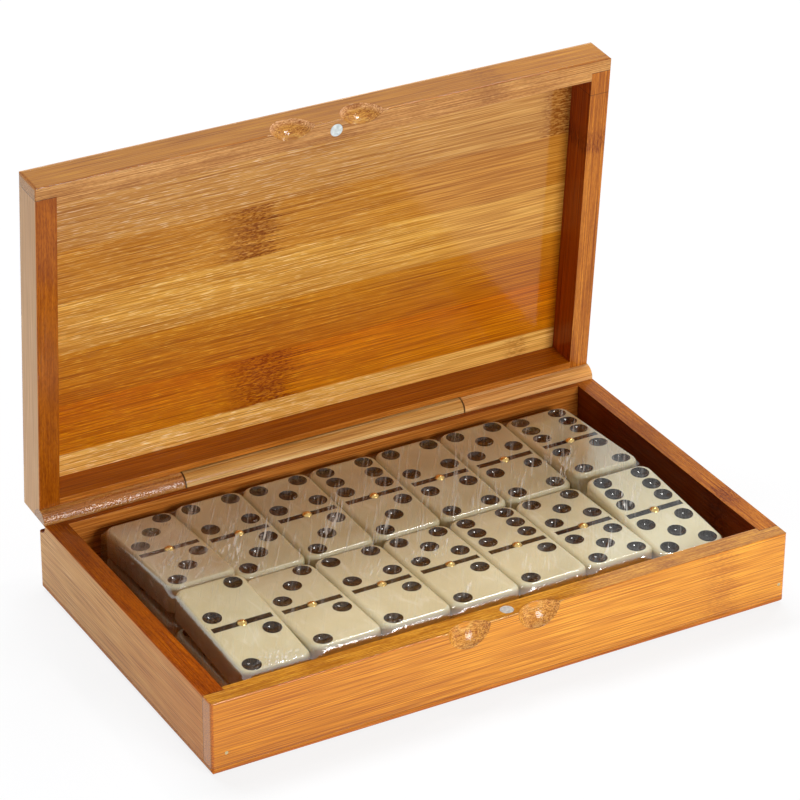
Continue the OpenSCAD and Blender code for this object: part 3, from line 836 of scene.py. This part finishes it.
def film_points():
    """The film's top as rows and columns of points, a taut sheet over the tiles, and each point's share of
    crease."""
    tree, corners = pack_tree()
    low = [min(c[k] for c in corners) for k in range(2)]
    high = [max(c[k] for c in corners) for k in range(2)]
    u = spaced(high[0] - low[0], FILM_CELL, FILM_EDGE_CELLS)
    v = spaced(high[1] - low[1], FILM_CELL, FILM_EDGE_CELLS)
    inner_xs = np.clip(low[0] + u * (high[0] - low[0]), low[0] + CORNER_X, high[0] - CORNER_X)
    inner_ys = np.clip(low[1] + v * (high[1] - low[1]), low[1] + CORNER_Y, high[1] - CORNER_Y)
    front = -outside(pack_edge(tree, inner_xs, 1, -1, FAR_Y), FILM_SPAN) - FILM_OFF_SIDE
    back = outside(pack_edge(tree, inner_xs, 1, 1, FAR_Y), FILM_SPAN) + FILM_OFF_SIDE
    left = -outside(pack_edge(tree, inner_ys, 0, -1, FAR_X), FILM_SPAN) - FILM_OFF_SIDE
    right = outside(pack_edge(tree, inner_ys, 0, 1, FAR_X), FILM_SPAN) + FILM_OFF_SIDE
    grid_u, grid_v = np.meshgrid(u, v, indexing="ij")
    x = left[None, :] + grid_u * (right - left)[None, :]
    y = front[:, None] + grid_v * (back - front)[:, None]

    rest = np.full(x.shape, FILM_FOOT)
    for index in np.ndindex(x.shape):
        hit = tree.ray_cast(Vector((x[index], y[index], ABOVE)), Vector((0, 0, -1)))[0]
        if hit is not None:
            rest[index] = hit.z + FILM_LIFT
    z = rest.copy()
    border = np.zeros(x.shape, bool)
    border[[0, -1], :] = True
    border[:, [0, -1]] = True
    near = np.pad(rest, FILM_SPAN, mode="edge")
    rows, columns = x.shape
    shifts = range(2 * FILM_SPAN + 1)
    windows = [near[i : i + rows, j : j + columns] for i in shifts for j in shifts]
    rim = np.max(windows, axis=0) - FILM_WRAP
    z[border] = rim[border]
    for _ in range(SAG_ROUNDS):
        mean = (z[:-2, 1:-1] + z[2:, 1:-1] + z[1:-1, :-2] + z[1:-1, 2:]) / 4
        z[1:-1, 1:-1] = np.maximum(rest[1:-1, 1:-1], mean)
    inset = np.minimum(np.minimum(x - x[:1, :], x[-1:, :] - x), np.minimum(y - y[:, :1], y[:, -1:] - y))
    lift = crease_height(x, y) * np.clip((inset - CREASE_FREE_RIM) / CREASE_RISE, 0, 1)
    return x, y, z + lift, lift / CREASE_LIMIT


def wall_ring(rows, columns):
    """The film's border points in order."""
    ring = [(i, 0) for i in range(rows - 1)] + [(rows - 1, j) for j in range(columns - 1)]
    ring += [(i, columns - 1) for i in range(rows - 1, 0, -1)] + [(0, j) for j in range(columns - 1, 0, -1)]
    return ring


def shrink_film():
    """The clear film that the tiles are wrapped in."""
    x, y, z, creased = film_points()
    rows, columns = x.shape
    mesh = bmesh.new()
    grid = [[mesh.verts.new((x[i, j], y[i, j], z[i, j])) for j in range(columns)] for i in range(rows)]
    for i in range(rows - 1):
        for j in range(columns - 1):
            mesh.faces.new((grid[i][j], grid[i + 1][j], grid[i + 1][j + 1], grid[i][j + 1]))
    ring = wall_ring(rows, columns)
    upper = [grid[i][j] for i, j in ring]
    for share in WALL_SHARES:
        lower = []
        for k, (i, j) in enumerate(ring):
            top = grid[i][j].co
            out = Vector(((i == rows - 1) - (i == 0), (j == columns - 1) - (j == 0), 0)).normalized()
            wave = math.sin(0.31 * k) + 0.6 * math.sin(0.83 * k + 1.3) + 0.4 * math.sin(1.37 * k + 0.4)
            slack = WALL_SLACK * math.sin(math.pi * min(share, 0.9)) * (2 + wave)
            lower.append(mesh.verts.new((*(top + out * slack).xy, top.z + share * (FILM_FOOT - top.z))))
        for k in range(len(ring)):
            n = (k + 1) % len(ring)
            mesh.faces.new((upper[k], lower[k], lower[n], upper[n]))
        upper = lower
    bmesh.ops.recalc_face_normals(mesh, faces=mesh.faces)
    data = bpy.data.meshes.new("shrink_film")
    mesh.to_mesh(data)
    mesh.free()
    data.shade_smooth()
    whitened = np.zeros(len(data.vertices))
    whitened[: creased.size] = creased.ravel()
    data.attributes.new("creased", "FLOAT", "POINT").data.foreach_set("value", whitened)
    piece = add_object("shrink_film", data)
    data.materials.append(clear_film())
    skin = piece.modifiers.new("thickness", "SOLIDIFY")
    skin.thickness = FILM_T
    skin.offset = 1
    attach(piece, "base")


def clear_film():
    """Clear plastic film: sharp reflections, stronger at a flat angle, with fine stretch marks."""
    shader = Shader("shrink_film")
    place = shader.place()
    turned = shader.node("VectorRotate", rotation_type="Z_AXIS")
    turned.inputs["Angle"].default_value = STRETCH_ANGLE
    shader.put(turned.inputs["Vector"], place)
    stretch = shader.stretched_noise(turned.outputs[0], (0.07, 1.9, 1.9), 1.0)
    ripple = shader.noise(place, 0.35, 1.0, 0.5)
    height = shader.math("MULTIPLY_ADD", ripple, 0.5, stretch)
    facing = shader.node("LayerWeight")
    facing.inputs["Blend"].default_value = 0.5
    gloss = shader.math("POWER", facing.outputs["Facing"], 5.0)
    gloss = shader.math("MULTIPLY_ADD", gloss, 0.5, 0.022)
    level = shader.math("ABSOLUTE", shader.split(shader.node("TexCoord").outputs["Normal"])["Z"])
    gloss = shader.math("ADD", gloss, shader.fit(level, 0.97, 0.6, 0.0, 0.12))
    # The creases and marks whiten the film: partly real whitening, partly a painted highlight for their
    # glare
    creased = shader.node("Attribute", attribute_name="creased").outputs["Fac"]
    streaks = shader.fit(stretch, 0.49, 0.59)
    marks = shader.stretched_noise(turned.outputs[0], (0.03, 0.55, 0.55), 2.0, 0.55, 0.4)
    back_row = shader.fit(shader.split(place)["Y"], -8, 2, 0.2, 1.0)
    marks = shader.times(shader.fit(marks, 0.50, 0.66, 0.0, 0.24), back_row)
    whitening_and_glare = shader.times(shader.math("MAXIMUM", shader.times(creased, 0.68), marks), streaks)
    clear = shader.node("BsdfTransparent")
    clear.inputs["Color"].default_value = (0.99, 0.99, 0.985, 1)
    mirror = shader.node("BsdfGlossy")
    mirror.inputs["Roughness"].default_value = 0.05
    shader.put(mirror.inputs["Normal"], shader.bump(height, 0.22, 0.3 * MM))
    # The diffuse white of the creases and marks, partly a painted highlight
    white = shader.node("BsdfDiffuse")
    white.inputs["Color"].default_value = (0.95, 0.91, 0.83, 1)
    film = shader.blend(whitening_and_glare, clear, white)
    film = shader.blend(gloss, film, mirror)
    return shader.finish(film.outputs[0])


shrink_film()


# ---------- Camera, light and floor ----------

CAMERA_PLACE = (-0.4948, -0.8675, 0.6218)
YAW, PITCH, ROLL = math.radians(29.00), math.radians(29.55), math.radians(0.14)
SENSOR_MM = 36
IMAGE_PX = 800
FOCAL_PX = 3743.4
OPTICAL_CENTRE_PX = (372.9, 441.6)

camera = add_object("camera", bpy.data.cameras.new("camera"))
bpy.context.scene.camera = camera
camera.data.sensor_width = SENSOR_MM
camera.data.lens = FOCAL_PX / IMAGE_PX * SENSOR_MM
camera.data.shift_x = (IMAGE_PX / 2 - OPTICAL_CENTRE_PX[0]) / IMAGE_PX
camera.data.shift_y = (OPTICAL_CENTRE_PX[1] - IMAGE_PX / 2) / IMAGE_PX
camera.data.clip_start, camera.data.clip_end = 0.05, 20
aim = Matrix.Rotation(-YAW, 4, "Z") @ Matrix.Rotation(math.pi / 2 - PITCH, 4, "X")
camera.matrix_world = Matrix.Translation(CAMERA_PLACE) @ aim @ Matrix.Rotation(ROLL, 4, "Z")


def softbox(name, place, target, size, power, tint=(1, 1, 1)):
    """A rectangular lamp at a place, turned to its target."""
    data = bpy.data.lights.new(name, "AREA")
    data.shape = "RECTANGLE"
    data.size, data.size_y = size
    data.energy = power
    data.color = tint
    lamp = add_object(name, data)
    turn = (Vector(target) - Vector(place)).to_track_quat("-Z", "Y")
    lamp.matrix_world = Matrix.Translation(place) @ turn.to_matrix().to_4x4()
    return lamp


softbox("front_softbox", place=(0.3, -1.4, 0.5), target=(0, 0, 0.06), size=(0.5, 0.5), power=13.5)
softbox("top_softbox", place=(0.42, 0.2, 0.88), target=(0, 0, 0.03), size=(0.12, 0.12), power=2)
rear_softbox = softbox(
    "rear_softbox", place=(0, 0.59, 1.18), target=(0, 0, 0.03), size=(0.95, 0.35), power=15,
    tint=(1, 1.03, 1.10),
)
rear_softbox.visible_glossy = False

AMBIENT = 0.2
PAPER = (0.85, 0.85, 0.85, 1)
FLOOR_GLOW = 0.85
FLOOR_R = 6
FLOOR_DROP = 0.02 * MM


def white_surround():
    """A plain world: white where it is seen or mirrored, and a soft even light otherwise."""
    world = bpy.data.worlds.new("world")
    bpy.context.scene.world = world
    world.use_nodes = True
    tree = world.node_tree
    tree.nodes.clear()
    seen = tree.nodes.new("ShaderNodeLightPath")
    glossy = tree.nodes.new("ShaderNodeMath")
    glossy.operation = "MAXIMUM"
    tree.links.new(seen.outputs["Is Glossy Ray"], glossy.inputs[0])
    tree.links.new(seen.outputs["Is Transmission Ray"], glossy.inputs[1])
    shown = tree.nodes.new("ShaderNodeMath")
    shown.operation = "MAXIMUM"
    tree.links.new(seen.outputs["Is Camera Ray"], shown.inputs[0])
    tree.links.new(glossy.outputs[0], shown.inputs[1])
    strength = tree.nodes.new("ShaderNodeMapRange")
    strength.inputs["To Min"].default_value = AMBIENT
    strength.inputs["To Max"].default_value = 1.0
    tree.links.new(shown.outputs[0], strength.inputs["Value"])
    background = tree.nodes.new("ShaderNodeBackground")
    tree.links.new(strength.outputs[0], background.inputs["Strength"])
    output = tree.nodes.new("ShaderNodeOutputWorld")
    tree.links.new(background.outputs[0], output.inputs[0])


def floor():
    """A pale floor that reads as white to the camera and keeps the object's soft shadow."""
    shader = Shader("floor_paper")
    rays = shader.node("LightPath").outputs
    seen = shader.math("MAXIMUM", rays["Is Camera Ray"], rays["Is Glossy Ray"])
    seen = shader.math("MAXIMUM", seen, rays["Is Transmission Ray"])
    paper = shader.node("BsdfDiffuse")
    paper.inputs["Color"].default_value = PAPER
    blend = shader.blend(shader.times(seen, FLOOR_GLOW), paper, shader.node("Emission"))
    mesh = bmesh.new()
    bmesh.ops.create_circle(mesh, cap_ends=True, radius=FLOOR_R, segments=64)
    data = bpy.data.meshes.new("floor")
    mesh.to_mesh(data)
    mesh.free()
    piece = add_object("floor", data)
    piece.location.z = -FLOOR_DROP
    data.materials.append(shader.finish(blend.outputs[0]))


white_surround()
floor()
bpy.context.scene.view_settings.view_transform = "Standard"
